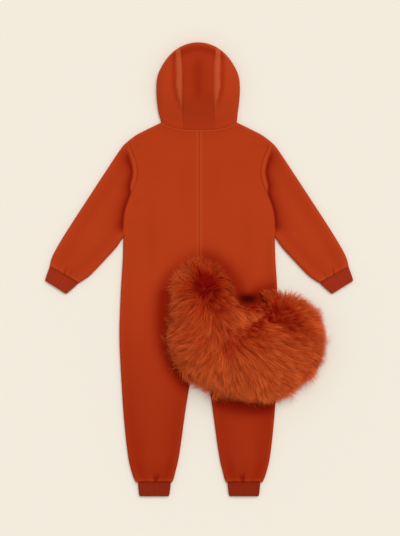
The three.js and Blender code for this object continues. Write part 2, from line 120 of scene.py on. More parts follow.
# Top of the stuffed form: x, y, z
TAIL_TOPS = [
    (14, -48, 84), (0, -120, 90), (17, -184, 96), (92, -250, 100), (200, -230, 96), (262, -165, 90),
    (206, -104, 80), (150, -122, 60), (40, -290, 92), (250, -290, 84),
]
TAIL_CENTRE = (60.0, -190.0)
# Rings of the form, as shares of its edge: underneath and up the side with their heights, then over the top
FORM_LOW = 16.0
FORM_SIDE = 33.0
FORM_UNDER = [(0.55, FORM_LOW), (0.8, FORM_LOW), (0.93, 20.2), (0.985, 26.08), (1, 32.8)]
FORM_OVER = [0.985, 0.95, 0.9, 0.84, 0.77, 0.69, 0.6, 0.5, 0.4, 0.3, 0.2, 0.1, 0.03]

PILE = dict(length=76.0, strands=21000, pieces=4, locks=2600, lock_seed=71, first_seed=11)
# Steps along each hair, and its half width at the start of each
STEPS = 4
HAIR_WIDTHS = [0.5, 0.58, 0.46, 0.3]
# The parting on the left lobe runs from the first swirl to its end
SWIRL = (14.0, -54.0)
PARTING_END = (63.0, -158.0)
SECOND_SWIRL = (210.0, -148.0)
# Places, as a middle and a reach in x and y: the notch between the lobes, the saddle below it, hair falling
# over the saddle, short hair beside the second swirl, and two patches of painted shade
NOTCH = ((137, -82), (30, 15))
SADDLE = ((128, -126), (52, 32))
FALL = ((120, -122), (42, 34))
SHORT = ((182, -132), (26, 30))
SHADED_EAST = ((104, -166), (52, 32))
SHADED_WEST = ((-12, -136), (42, 20))

# Steps in from an edge, close together where it rounds over
EDGE = np.array([0, 0.35, 0.9, 1.7, 2.8, 4.2, 6, 8.2, 11, 14.5, 19, 24.5, 31])
# Relief inside an edge: height, distance in and width of the roll and of the trough; height, start and end of
# the rise to the open cloth
BACK_EDGE = dict(roll=(2.0, 8.5, 5.5), trough=(1.2, 25, 12), rise=(1.8, 32, 90))
SLEEVE_EDGE = dict(roll=(1.0, 10, 6), trough=(0.9, 28, 13), rise=(2.0, 30, 75))

# Soft swells of the cloth: x, y, reach in x, reach in y, height
SWELLS = [
    (-88, 110, 24, 150, 1.1), (-132, 95, 20, 120, -0.83), (-48, 230, 30, 90, -0.5), (84, 130, 26, 130, 0.88),
    (128, 60, 22, 120, -0.72), (46, 255, 26, 80, -0.55), (-110, 310, 60, 26, 0.66), (118, 305, 56, 24, 0.55),
    (-150, -140, 30, 150, 0.61), (-120, -470, 26, 110, 0.88), (-160, -520, 16, 60, -0.72),
    (122, -480, 26, 90, 0.83), (164, -505, 14, 60, -0.66), (-86, -545, 12, 40, -0.61),
    (88, -540, 12, 44, -0.66), (-300, 120, 38, 70, 0.88), (305, 112, 36, 72, 0.83),
    (-352, 40, 30, 40, -0.55), (350, 36, 28, 42, -0.61),
]
# Creases: x and y where it is deepest, x and y where it runs out, height (a trough below nought), half width
CREASES = [
    (-186, 352, -128, 357, 1.4, 5), (188, 350, 132, 356, 1.2, 5), (-121.5, -594, -110, -568, -5.4, 3.7),
    (-122, -594, -127, -573, -4.4, 3.2), (121, -594, 112, -570, -4.7, 3.3), (122, -594, 127, -566, -5.3, 3.7),
    (-104, -593, -99, -577, -1.6, 3), (-146, -593, -150, -580, -1.5, 3), (147, -593, 152, -579, -1.5, 3),
    (100, -593, 94, -580, -1.3, 3), (-377, -16, -370, 6, -5.0, 3.2), (-366, -22, -352, 2, -2.4, 4),
    (377, -15, 372, 5, -4.4, 3.2), (-396, -5, -392, 10, -1.6, 3.4), (356, -27, 347, -10, -1.9, 3.6),
    (396, -6, 390, 14, -1.5, 3.4), (-352, -30, -336, -8, -1.4, 4), (-176, 180, -150, 205, -1.2, 8),
    (-30, -196, -84, -236, -1.2, 9), (34, -205, 90, -238, -1.2, 9),
]


# ---- Curves and distances ----
def smooth(a, b, t):
    """0 before a and 1 past b, with a soft run between them."""
    t = np.clip((np.asarray(t, float) - a) / (b - a), 0, 1)
    return t * t * (3 - 2 * t)


def bump(d, middle, width):
    """1 at the middle, falling away to both sides."""
    return np.exp(-(((d - middle) / width) ** 2))


def mound(x, y, middle, reach):
    """1 at a place, falling away all round it."""
    return np.exp(-(((x - middle[0]) / reach[0]) ** 2) - ((y - middle[1]) / reach[1]) ** 2)


def rounded(d, radius):
    """Share of the full height at a distance in from a rounded edge."""
    t = 1 - np.clip(np.asarray(d) / radius, 0, 1)
    return np.sqrt(np.clip(1 - t * t, 0, 1))


def unit(vectors):
    return vectors / np.maximum(np.linalg.norm(vectors, axis=-1, keepdims=True), 1e-6)


def flowing(points, step=5.0):
    """A smooth curve through the points, in steps of about `step`."""
    p = np.array(points, float)
    p = np.vstack([2 * p[0] - p[1], p, 2 * p[-1] - p[-2]])
    out = []
    for i in range(1, len(p) - 2):
        a, b, c, d = p[i - 1 : i + 3]
        n = max(2, int(np.linalg.norm(c - b) / step))
        t = np.linspace(0, 1, n, endpoint=False)[:, None]
        curve = 2 * b + (c - a) * t
        curve = curve + (2 * a - 5 * b + 4 * c - d) * t**2
        curve = curve + (3 * b - a - 3 * c + d) * t**3
        out.append(0.5 * curve)
    return np.vstack(out + [p[-2][None]])


def share_along(curve, shares):
    """Points at these shares of the curve's length."""
    reach = np.concatenate([[0], np.cumsum(np.linalg.norm(np.diff(curve, axis=0), axis=1))])
    at = np.asarray(shares) * reach[-1]
    return np.stack([np.interp(at, reach, curve[:, k]) for k in range(curve.shape[1])], -1)


def to_segment(x, y, a, b):
    """How far along the segment from a to b the nearest point lies, as a share, and the distance to it."""
    dx, dy = b[0] - a[0], b[1] - a[1]
    t = np.clip(((x - a[0]) * dx + (y - a[1]) * dy) / max(dx * dx + dy * dy, 1e-9), 0, 1)
    return t, np.hypot(x - a[0] - t * dx, y - a[1] - t * dy)


def distance(x, y, line):
    """Distance in plan from each point to a polyline."""
    x, y = np.asarray(x, float), np.asarray(y, float)
    best = np.full(x.shape, 1e9)
    for a, b in zip(line[:-1], line[1:]):
        best = np.minimum(best, to_segment(x, y, a, b)[1])
    return best


def nearest(x, y, lines):
    return np.min([distance(x, y, line) for line in lines], axis=0)


def edge_by_height(curve, y):
    order = np.argsort(curve[:, 1])
    return np.interp(y, curve[order, 1], curve[order, 0])


def height_along(curve, x):
    """The curve's y at each x."""
    return np.interp(x, curve[:, 0], curve[:, 1])


collar = flowing(COLLAR)
front_neck = flowing(FRONT_NECK)
shoulder_seam = flowing(SHOULDER_SEAM)
armhole = flowing(ARMHOLE)
side_seam = flowing(SIDE_SEAM)
inseam = flowing(INSEAM)
overarm = flowing(OVERARM)
underarm = flowing(UNDERARM)
hood_seam = flowing(HOOD_SEAM)
tail_edge = flowing([*TAIL_OUTLINE, TAIL_OUTLINE[0]], 14)
top_edge = np.vstack([collar[:-1], shoulder_seam])
centre_back = np.array([(0, NAPE_Y), (0, CROTCH_Y)], float)
wrist_seam = np.array([WRIST["seam_outer"], WRIST["seam_inner"]], float)
ankle_seam = np.array([ANKLE["seam_inner"], ANKLE["seam_outer"]], float)
ROLLED = [shoulder_seam, overarm, underarm, side_seam, inseam]


# ---- Relief of the cloth, and its painted shading: painted shade above nought, in a fold, painted highlight below nought, where it is raised ----
def hand_folds(x, y):
    """Swells and creases, as listed."""
    z = np.zeros_like(x)
    for sx, sy, reach_x, reach_y, height in SWELLS:
        z += height * mound(x, y, (sx, sy), (reach_x, reach_y))
    for ax, ay, bx, by, height, width in CREASES:
        t, d = to_segment(x, y, (ax, ay), (bx, by))
        z += height * bump(d, 0, width) * np.clip(1.15 - t, 0, 1)
    return z


def edge_relief(d, roll, trough, rise):
    """The roll of a turned seam, the trough inside it and the rise to the open cloth."""
    return roll[0] * bump(d, *roll[1:]) - trough[0] * bump(d, *trough[1:]) + rise[0] * smooth(*rise[1:], d)


def upper_face(low, relief, d, radius):
    """Height of an upper face that rounds up from `low` at its edge and never sinks back to it."""
    z = low + (FIELD_Z + relief - low) * rounded(d, radius)
    return np.maximum(z, low + smooth(1, 7, d))


def painted_hem_and_edge_light(hem, rolled):
    """Painted shade beside the ankle's seam, and painted highlight on the turned edges."""
    return 0.12 * bump(hem, 0, 2.5) - 0.35 * bump(hem, 5.5, 3) - 0.16 * bump(rolled, 3, 4)


def body_height(x, y):
    """Upper face of the back and legs, and its painted shading."""
    ax = np.abs(x)
    d = nearest(ax, y, ROLLED)
    back, arm = distance(ax, y, centre_back), distance(ax, y, armhole)
    neck, hem = distance(ax, y, collar), distance(ax, y, ankle_seam)
    away = smooth(4, 14, d)
    stitched = smooth(228, 262, y) * (1 - smooth(318, 345, y))
    folds = hand_folds(x, y)
    relief = edge_relief(d, **BACK_EDGE) * (1 - 0.7 * smooth(300, 350, y)) + folds
    relief += 0.7 * bump(back, 4, 2.6) - 0.7 * bump(back, 0, 1.3)
    relief += away * (0.5 * bump(arm, 4.5, 3) - (0.3 + 0.7 * stitched) * bump(arm, 0, 1.3))
    relief += away * (1.8 * bump(neck, 2.6, 2.4) - 0.7 * bump(neck, 12, 6))
    relief += 1.4 * bump(hem, 7, 4.5) - 2.4 * bump(hem, 0, 2.0)
    # Painted shade darker down the legs and at their foot, in the centre back seam, the armhole's stitching,
    # the troughs, the creases and beside the hem; painted highlight beside the centre seam, on the collar's
    # ridge and on the turned edges
    mark = 0.6 * smooth(20, -520, y) * (1 - 0.2 * bump(ax, 130, 40)) + 0.05 * smooth(180, 300, y)
    mark += 0.14 * smooth(-515, -566, y) * smooth(6, 24, d)
    mark += 0.1 * bump(ax, 121, 9) * smooth(-562, -584, y)
    mark += 0.06 * bump(back, 0, 1.5) - 0.34 * bump(back, 4.6, 3) + 0.12 * stitched * bump(arm, 0, 1.6)
    mark += 0.08 * bump(d, 22, 12) * smooth(120, 40, y) + painted_hem_and_edge_light(hem, d)
    mark += 0.12 * np.clip(-folds, 0, 3) - 0.3 * bump(neck, 2.6, 2.2) * away + 0.1 * bump(neck, 14, 9)
    return upper_face(SEAM_Z + GAP / 2, relief, d, 8), mark


def painted_tail_shadow(x, y):
    """Painted shadow on the cloth round the tail's edge, and near black in the notch between its lobes."""
    near = distance(x, y, tail_edge)
    below = np.where((y < -60) & (x < 0), 1.2, 1.0)
    above = smooth(-20, 20, y) * smooth(30, -10, x)
    return (0.85 - 0.35 * above) * below * bump(near, 0, 27) + 1.3 * mound(x, y, *NOTCH)


def sleeve_height(x, y):
    """Upper face of a sleeve, and its painted shading."""
    ax = np.abs(x)
    d = nearest(ax, y, (overarm, underarm, shoulder_seam))
    arm, hem = distance(ax, y, armhole), distance(ax, y, wrist_seam)
    # A roll on the sleeve's side of the armhole, and past it a trough
    wide = 11 * smooth(205, 240, y) * (1 - smooth(325, 352, y))
    deep = 7.0 * smooth(88, 125, y) * (1 - smooth(300, 348, y))
    ridge, past = wide > 4, arm - wide
    trough = deep * smooth(0, 5, past) * np.exp(-np.clip(past - 4, 0, None) / 15)
    folds = hand_folds(x, y)
    relief = edge_relief(d, **SLEEVE_EDGE) + folds
    relief += smooth(3, 12, d) * (1.2 * bump(arm, 6, 4) * ridge - 1.8 * bump(arm, 0, 1.3) - trough)
    relief += 1.4 * bump(hem, 7, 4.5) - 2.0 * bump(hem, 0, 2.0)
    # Painted shade in the trough past the armhole, the trough inside the edge, the creases and on the wrist
    # seam; painted highlight on the rolled edges, just above the wrist seam and on the armhole's ridge
    mark = 0.185 * trough + 0.15 * bump(d, 30, 14) - 0.14 * bump(d, 3, 4) + 0.12 * np.clip(-folds, 0, 3)
    mark += 0.1 * bump(hem, 0, 2.5) - 0.45 * bump(hem, 5, 2.5) - 0.22 * bump(arm, 5.5, 4) * ridge
    return upper_face(SEAM_Z, relief, d, 9), mark


def under_height(x, y):
    """Lower face, flat on the surface inside its rounded edge."""
    return (SEAM_Z - GAP / 2) * (1 - rounded(nearest(np.abs(x), y, ROLLED), 5))


# ---- Meshes ----
def placed(name, data):
    obj = bpy.data.objects.new(name, data)
    bpy.context.scene.collection.objects.link(obj)
    return obj


def mesh_object(name, verts, faces, uv=None, marks=None):
    """faces has an array of vertex numbers for each number of corners; uv has a row for each vertex."""
    me = bpy.data.meshes.new(name)
    me.vertices.add(len(verts))
    me.vertices.foreach_set("co", (np.asarray(verts) * MM).astype(np.float32).ravel())
    corners = np.hstack([f.ravel() for f in faces])
    sizes = np.hstack([np.full(len(f), f.shape[1]) for f in faces])
    starts = np.append(0, np.cumsum(sizes)[:-1])
    me.loops.add(len(corners))
    me.loops.foreach_set("vertex_index", corners.astype(np.int32))
    me.polygons.add(len(sizes))
    me.polygons.foreach_set("loop_start", starts.astype(np.int32))
    me.polygons.foreach_set("use_smooth", np.ones(len(sizes), bool))
    if uv is not None:
        me.uv_layers.new(name="UVMap").uv.foreach_set("vector", uv[corners].astype(np.float32).ravel())
    for key, values in (marks or {}).items():
        me.attributes.new(key, "FLOAT", "POINT").data.foreach_set("value", values.astype(np.float32))
    me.update(calc_edges=True)
    me.validate()
    return placed(name, me)


def wall(name, outer, thick, turn, mark=0.0, ring=False, upright=None):
    """A wall of cloth from a grid of points on its outer face; turn is the side that the face looks to, and
    upright marks the points where it meets another piece edge to edge."""
    rows, cols = outer.shape[:2]
    ahead = np.roll(outer, -1, 1) - np.roll(outer, 1, 1) if ring else np.gradient(outer, axis=1)
    normal = unit(np.cross(ahead, np.gradient(outer, axis=0)) * turn)
    if upright is not None:
        straight = np.where(normal[..., 2:] < 0, -1.0, 1.0) * (0, 0, 1)
        normal = np.where(upright[..., None], straight, normal)
    inner = outer - normal * thick
    verts = np.vstack([outer.reshape(-1, 3), inner.reshape(-1, 3)])
    number = np.arange(rows * cols).reshape(rows, cols)
    if ring:
        number = np.hstack([number, number[:, :1]])
        loops = [number[0], number[-1][::-1]]
    else:
        loops = [np.hstack([number[0, :-1], number[:-1, -1], number[-1, :0:-1], number[::-1, 0]])]
    a, b, c, d = number[:-1, :-1], number[:-1, 1:], number[1:, 1:], number[1:, :-1]
    face = np.stack([a, b, c, d], -1).reshape(-1, 4)
    under = rows * cols
    rim = [np.stack([l[1:], l[:-1], l[:-1] + under, l[1:] + under], -1) for l in loops]
    faces = np.vstack([face, face[:, ::-1] + under, *rim])
    if turn < 0:
        faces = faces[:, ::-1]
    u, v = np.meshgrid(np.linspace(0, 1, cols), np.linspace(0, 0.49, rows))
    flat = np.stack([u.ravel(), v.ravel()], -1)
    uv = np.vstack([flat, flat + (0, 0.5)])
    # Painted shade and highlight for the outer face go into the fold attribute; the inner face has none
    shade = np.clip(np.broadcast_to(mark, (rows, cols)), -1, 2)
    return mesh_object(name, verts, [faces], uv, {"fold": np.append(shade, np.zeros(under))})


# ---- Body ----
def edge_steps(edge, spacing, length):
    """Places along a length: close together at both edges and even between them."""
    even = np.arange(edge[-1] + spacing, length - edge[-1], spacing)
    return np.hstack([edge, even, length - edge[::-1]])


def body_plan(spacing, edge, band=0.0):
    """Grid of the half body in plan: rows from the collar and shoulder down to the hem. It starts beside the
    closure's band, where there is one."""
    top = SHOULDER[1]
    y = top - edge_steps(edge, spacing, top - HEM_Y)
    outer = np.where(y >= UNDERARM_Y, edge_by_height(armhole, y), edge_by_height(side_seam, y)) - GAP / 2
    inner = np.where(y >= CROTCH_Y, 0, edge_by_height(inseam, y)) + GAP / 2
    middle = np.linspace(0, 1, int(150 / spacing))[1:-1]
    near, far = inner[:, None] + edge[None], outer[:, None] - edge[::-1][None]
    x = np.hstack([near, near[:, -1:] + (far[:, :1] - near[:, -1:]) * middle[None], far])
    start = np.where(y > PLACKET["bottom"], np.maximum(band, inner), inner)[:, None]
    x = start + (x - inner[:, None]) * ((outer[:, None] - start) / (outer - inner)[:, None])
    rise = height_along(top_edge, x * SHOULDER[0] / outer[:, None]) - top
    return x, y[:, None] + rise * smooth(190, 343, y)[:, None]


def body_seams(x, y):
    """The half body's seams with its neighbours: collar, hem, centre line and armhole."""
    meets = np.zeros(x.shape, bool)
    meets[0] = x[0] < NECK_CORNER[0] - 2
    meets[-1] = True
    meets[:, 0] |= y[:, 0] > CROTCH_Y
    meets[:, -1] |= y[:, -1] > UNDERARM_Y
    return meets


def back_panel(side, name):
    x, y = body_plan(5.0, EDGE)
    z, mark = body_height(side * x, y)
    grid = np.stack([side * x, y, z], -1)
    # The back's painted shading, with the painted shadow round the tail added
    return wall(name, grid, FLEECE, -side, mark + painted_tail_shadow(side * x, y), upright=body_seams(x, y))


def closure_zone(y):
    """1 along the closure, running out at its ends."""
    top, bottom, fade = PLACKET["top"], PLACKET["bottom"], PLACKET["fade"]
    return smooth(bottom - fade, bottom, y) * (1 - smooth(top - fade, top, y))


def front_panel(side, name):
    """Half of the hidden front, lifted over the closure's bands."""
    half, ramp, lift = PLACKET["half"], PLACKET["ramp"], PLACKET["lift"]
    x, y = body_plan(6.5, EDGE[::2], half + GAP)
    drop = height_along(top_edge, x) - height_along(front_neck, x)
    y = y - drop * (x < NECK_CORNER[0]) * smooth(180, 345, y)
    layers = lift if side < 0 else 2 * lift + GAP
    lifted = layers * (1 - smooth(half, half + ramp, x)) * closure_zone(y)
    inside = smooth(12, 40, np.minimum(edge_by_height(side_seam, y), UNDERARM[0][0]) - x) * (x > 50)
    folds = np.clip(hand_folds(side * x * 0.94, y + 30), 0, 2) * inside
    gathers = np.clip(-hand_folds(side * x, y), 0, 3) * smooth(-550, -572, y)
    z = np.maximum(under_height(x, y), lifted) + 0.9 * folds + 0.6 * gathers
    # Painted shade in the creases and gathers, darker down the legs, and at the hem
    mark = 0.1 * folds + 0.16 * gathers + 0.6 * smooth(20, -520, y)
    mark += painted_hem_and_edge_light(distance(x, y, ankle_seam), nearest(x, y, ROLLED))
    return wall(name, np.stack([side * x, y, z], -1), FLEECE, side, mark, upright=body_seams(x, y))


def placket_band(above, name):
    """A band of the closure, lying along the centre of the front."""
    top, bottom, half = PLACKET["top"], PLACKET["bottom"], PLACKET["half"]
    edge = EDGE[:6]
    y = np.hstack([top - edge, np.arange(top - 8, bottom + 8, -6.0), bottom + edge[::-1]])
    x = np.hstack([-half + edge, np.linspace(-11, 11, 8), half - edge[::-1]])
    x, y = np.meshgrid(x, y)
    inward = half - np.abs(x)
    soft = 0.45 * (1 - rounded(inward, 2.5)) + 0.25 * bump(inward, 5, 1.2)
    z = PLACKET["lift"] * closure_zone(y) + above + soft
    return wall(name, np.stack([x, y, z], -1), FLEECE - 0.5, 1)


# ---- Sleeves and cuffs ----
def length_of(curve):
    return np.linalg.norm(np.diff(curve, axis=0), axis=1).sum()


def sleeve_plan(spacing):
    """Grid of the sleeve in plan: rows from the armhole to the wrist, columns from the fold to the seam."""
    long, wide = length_of(overarm), length_of(armhole)
    v = edge_steps(EDGE, spacing, long) / long
    u = edge_steps(EDGE * 1.7, 4.5, wide) / wide
    fold, seam, hole = share_along(overarm, v), share_along(underarm, v), share_along(armhole, u)
    u, v = u[None, :, None], v[:, None, None]
    start = hole[0] * (1 - u) + hole[-1] * u
    return fold[:, None] * (1 - u) + seam[:, None] * u + (hole[None] - start) * (1 - v)


def sleeve(side, name):
    plan = sleeve_plan(6.0)
    x, y = plan[..., 0], plan[..., 1]
    z, mark = sleeve_height(side * x, y)
    upper = np.stack([side * x, y, z], -1)
    lower = np.stack([side * x, y, under_height(x, y)], -1)
    upper[:, 0, 2] = SEAM_Z
    thin = lower[:, ::-1][:, :-1]
    grid = np.hstack([thin, upper])
    mark = np.hstack([np.zeros(thin.shape[:2]), mark])
    meets = np.zeros(mark.shape, bool)
    meets[[0, -1]] = True
    return wall(name, grid, FLEECE, side, mark, upright=meets)


def bowed(wave, power):
    """A wave from 0 to 1 with its ends filled out, so that a tube lies flattened."""
    return np.sign(wave) * np.abs(wave) ** power / 2 + 0.5


def cuff(side, name, cut):
    """A tube of rib lying flat, its ribs running from the seam to the open end."""
    ribs = cut["ribs"]
    t = np.linspace(0, 2 * math.pi, ribs * 4, endpoint=False)
    length = math.dist(cut["seam_outer"], cut["end_outer"])
    v = np.unique([*np.linspace(0, 1, 9), *EDGE[:6] / length, *(1 - EDGE[:6] / length)])
    outer = np.outer(1 - v, cut["seam_outer"]) + np.outer(v, cut["end_outer"])
    inner = np.outer(1 - v, cut["seam_inner"]) + np.outer(v, cut["end_inner"])
    mid, half = (outer + inner) / 2, (inner - outer) / 2
    past = np.clip((v * length - (length - 5)) / 5, 0, 1)
    start = np.clip(1 - v * length / 3.5, 0, 1)
    trim = 1 - 0.045 * (1 - np.sqrt(1 - past**2)) + 0.012 * np.sin(v * math.pi)
    tall = CUFF_HEIGHT * (1 - 0.1 * past**2 - 0.12 * start**2) + 0.9 * np.sin(v * math.pi)
    across = (bowed(np.cos(t), 0.55) * 2 - 1)[None] * trim[:, None]
    ribbing = 0.2 * np.cos(t * ribs)[None] * (1 - 0.6 * past[:, None])
    wave = 0.2 * np.sin(t * 5)[None] * (1 - v[:, None])
    x = mid[:, :1] + half[:, :1] * across + ribbing * np.cos(t)[None] * 0.5
    y = mid[:, 1:] + half[:, 1:] * across + wave
    z = np.maximum(bowed(np.sin(t), 0.32)[None] * tall[:, None] + ribbing * np.sin(t)[None], 0.05)
    # Painted shade: the cuff's own amount, between the ribs and beside the seam
    mark = cut["shade"] + 0.12 * (0.5 - 0.5 * np.cos(t * ribs))[None] + 0.2 * bump(v * length, 0, 4)[:, None]
    return wall(name, np.stack([side * x, y, z], -1), RIB_WALL, -side, mark, ring=True)


# ---- Hood ----
def hood_outline():
    """Right half of the hood's folded edge, from the corner of the neck up to the middle of the crown."""
    up = np.linspace(HOOD["neck_y"], HOOD["mid_y"], 24)
    low = (HOOD["mid_y"] - up) / (HOOD["mid_y"] - HOOD["neck_y"])
    side = np.stack([HOOD["half"] - HOOD["taper"] * low**1.7, up], -1)
    a = np.linspace(0, math.pi / 2, 60)[1:]
    crown = np.stack([HOOD["half"] * np.cos(a), HOOD["mid_y"] + HOOD["upper"] * np.sin(a)], -1)
    crown[:, 0] += HOOD["fuller"] * bump(crown[:, 1], 542, 24)
    return np.vstack([side, crown])


hood_edge = hood_outline()


def hood_height(x, y):
    """Upper face of the hood, and its painted shading; x is measured from its own middle line."""
    ax = np.abs(x)
    d, seam, neck = (distance(ax, y, line) for line in (hood_edge, hood_seam, collar))
    outside = ax > edge_by_height(hood_seam, y)
    crown = smooth(385, 500, y)
    top = FIELD_Z + 1 + (HOOD["height"] - FIELD_Z - 1) * crown
    dome = top * (0.78 + 0.22 * smooth(0, 75, d))
    reach = smooth(425, 500, y) * (1 - smooth(608, 628, y))
    wide = PUFF["width"] * smooth(425, 520, y) ** 0.7 * (1 - 0.3 * smooth(570, 625, y))
    within = seam / np.maximum(wide, 1)
    inward = np.clip(1 - within, 0, 1)
    puff = PUFF["height"] * reach * rounded(inward, 0.3) * (0.22 + 0.78 * smooth(0, 0.45, within)) * outside
    hollow = 3.0 * bump(seam, wide + 6, 7) * reach * outside
    trough = 2.4 * bump(ax, 0, 15) * smooth(450, 500, y) * (1 - smooth(545, 612, y))
    swell = 1.6 * bump(seam, 10, 9) * smooth(420, 470, y) * smooth(4, 30, d) * ~outside
    stitched = smooth(395, 450, y) * (1 - smooth(585, 612, y))
    relief = puff - hollow - trough + swell - 0.4 * bump(neck, 0, 2.2) + 0.8 * bump(neck, 7, 5)
    z = SEAM_Z + (dome - SEAM_Z) * rounded(d, 8 + 16 * crown) + smooth(5, 20, d) * relief
    z -= (0.4 + 0.5 * stitched) * bump(seam, 0, 1.4) * smooth(2, 16, d)
    # Painted shade on the seams, in the hollows outside the crescents, in the middle trough, over the centre
    # panel, inside the top edge and low on the hood; painted highlight on the crescents, along the top edge
    # and on the side panels
    mark = (0.04 + 0.3 * stitched) * bump(seam, 0, 1.8) + 0.15 * hollow + 0.13 * trough
    mark += np.where(outside, 0.1, 0.17 + 0.2 * smooth(400, 480, y)) * (1 - 0.45 * smooth(590, 625, y))
    mark += 0.12 * smooth(450, 400, y) - 0.13 * outside
    mark -= 0.88 * reach * outside * (within < 1) * rounded(inward, 0.2)
    mark -= 0.5 * bump(within, 0.92, 0.13) * reach * outside
    mark -= (0.1 + 0.25 * smooth(560, 600, y)) * bump(d, 3, 5)
    mark += 0.5 * bump(d, 18, 13) * smooth(575, 610, y)
    return np.maximum(z, SEAM_Z), mark


def hood_under(d):
    """Lower face of the hood, flat inside its rounded edge."""
    return 0.4 + SEAM_Z * (1 - rounded(d, 6))


def hood_lean(x, y):
    """Moves the hood to one side above the neck."""
    return x + HOOD["shift"] * smooth(404, 444, y)


def meet(line, x, y, rows, run):
    """Brings a grid's first row on to a line, and the rows after it less and less."""
    shift = height_along(line, x[0]) + GAP - y[0]
    return y + shift[None] * (1 - smooth(0, run, rows))[:, None]


def hood_side(side, name):
    """A side panel: from the seam out to the folded edge, and back underneath to the face opening."""
    even = np.linspace(0.04, 0.96, 62)
    rows = np.hstack([0, 0.004, 0.01, 0.018, 0.03, even, 0.975, 0.985, 0.993, 1])
    crown = int(np.argmin(np.linalg.norm(hood_edge - hood_seam[-1], axis=1)))
    seam = share_along(hood_seam, rows)
    edge = share_along(np.vstack([hood_edge[:crown], hood_seam[-1]]), rows)
    face = share_along(np.vstack([flowing(FACE_OPENING), BROW]), rows)
    u = np.hstack([EDGE[:9] / 90, np.linspace(0.15, 0.72, 10), 1 - EDGE[9::-1] / 75])
    over = seam[:, None] + (edge - seam)[:, None] * u[None, :, None]
    x, y = over[..., 0], over[..., 1]
    y = meet(collar, x, y, rows, 0.25)
    z, mark = hood_height(side * x, y)
    z[:, -1] = SEAM_Z
    w = np.hstack([EDGE[1:10] / 45, np.linspace(0.4, 1, 7)])
    below = edge[:, None] + (face - edge)[:, None] * w[None, :, None]
    low_x = below[..., 0]
    low_y = meet(front_neck, low_x, below[..., 1], rows, 0.22)
    clear = np.maximum(low_y, height_along(front_neck, low_x) + GAP)
    low_y = np.where(low_x < NECK_CORNER[0], clear, low_y)
    under = np.stack([low_x, low_y, hood_under(distance(low_x, low_y, hood_edge))], -1)
    grid = np.hstack([np.stack([x, y, z], -1), under])
    mark = np.hstack([mark, np.zeros(low_x.shape)])
    meets = np.zeros(mark.shape, bool)
    meets[:, 0] = True
    meets[0] = grid[0, :, 0] < 98
    meets[-1, len(u):] = True
    grid[..., 0] = hood_lean(side * grid[..., 0], grid[..., 1])
    return wall(name, grid, FLEECE, side, mark, upright=meets)


def hood_centre(name):
    """The centre panel: from the nape over the crown, and back underneath to the brow."""
    u = np.linspace(-1, 1, 37)
    tall = HOOD["mid_y"] + HOOD["upper"] - NAPE_Y
    up = np.hstack([0, 0.6, 1.4, 2.6, 4.2, np.arange(6, 222, 4.5), tall - EDGE[::-1]])
    up = up[np.append(True, np.diff(up) > 0.2)]
    x = u[None] * np.interp(up + NAPE_Y, hood_seam[:, 1], hood_seam[:, 0])[:, None]
    crown = height_along(hood_edge[::-1], np.abs(x))
    base = height_along(collar, np.abs(x)) + GAP
    y = base + (crown - base) * (up / tall)[:, None]
    z, mark = hood_height(x, y)
    z[-1] = SEAM_Z
    (seam_x, seam_y), (brow_x, brow_y) = HOOD_SEAM[-1], BROW
    step = np.hstack([EDGE[1:10], 32, 40, 50])[:, None]
    narrower = 1 - (1 - brow_x / seam_x) * np.minimum(step / (seam_y - brow_y), 1)
    low_y = np.maximum(crown[-1] - step, brow_y - 2)
    under = np.stack(np.broadcast_arrays(x[-1] * narrower, low_y, hood_under(step)), -1)
    grid = np.vstack([np.stack([x, y, z], -1), under])
    grid[..., 0] = hood_lean(grid[..., 0], grid[..., 1])
    mark = np.vstack([mark, np.zeros(low_y.shape)])
    meets = np.zeros(mark.shape, bool)
    meets[:, [0, -1]] = True
    meets[0] = True
    return wall(name, grid, FLEECE, 1, mark, upright=meets)


# ---- The tail's stuffed form ----
def tail_top(x, y):
    weight, total = np.zeros_like(x), np.zeros_like(x)
    for tx, ty, tz in TAIL_TOPS:
        w = ((x - tx) ** 2 + (y - ty) ** 2 + 18**2) ** -1.6
        weight += w
        total += w * tz
    return total / weight


def tail_form(name):
    """The stuffed form that the pile grows on."""
    loop = flowing([*TAIL_FORM, TAIL_FORM[0]], 6)
    loop = share_along(loop, np.linspace(0, 1, 161))[:-1]
    centre = np.array(TAIL_CENTRE)
    count = len(loop)
    rings = []
    for share, height in FORM_UNDER:
        at = centre + (loop - centre) * share
        rings.append(np.column_stack([at, np.full(count, height)]))
    for share in FORM_OVER:
        at = centre + (loop - centre) * share
        top = tail_top(at[:, 0], at[:, 1])
        z = FORM_SIDE + (top - FORM_SIDE) * (1 - share**3.2) ** 0.5
        rings.append(np.column_stack([at, z]))
    crest = float(tail_top(*map(np.array, TAIL_CENTRE)))
    verts = np.vstack([*rings, (*TAIL_CENTRE, FORM_LOW), (*TAIL_CENTRE, crest)])
    number = np.arange(len(rings) * count).reshape(-1, count)
    number = np.hstack([number, number[:, :1]])
    a, b, c, d = number[:-1, :-1], number[:-1, 1:], number[1:, 1:], number[1:, :-1]
    quads = np.stack([b, c, d, a], -1).reshape(-1, 4)
    first, last = number[0], number[-1]
    low, high = len(verts) - 2, len(verts) - 1
    bottom = np.stack([first[1:], first[:-1], np.full(count, low)], -1)
    top = np.stack([last[:-1], last[1:], np.full(count, high)], -1)
    return mesh_object(name, verts, [quads, np.vstack([bottom, top])])


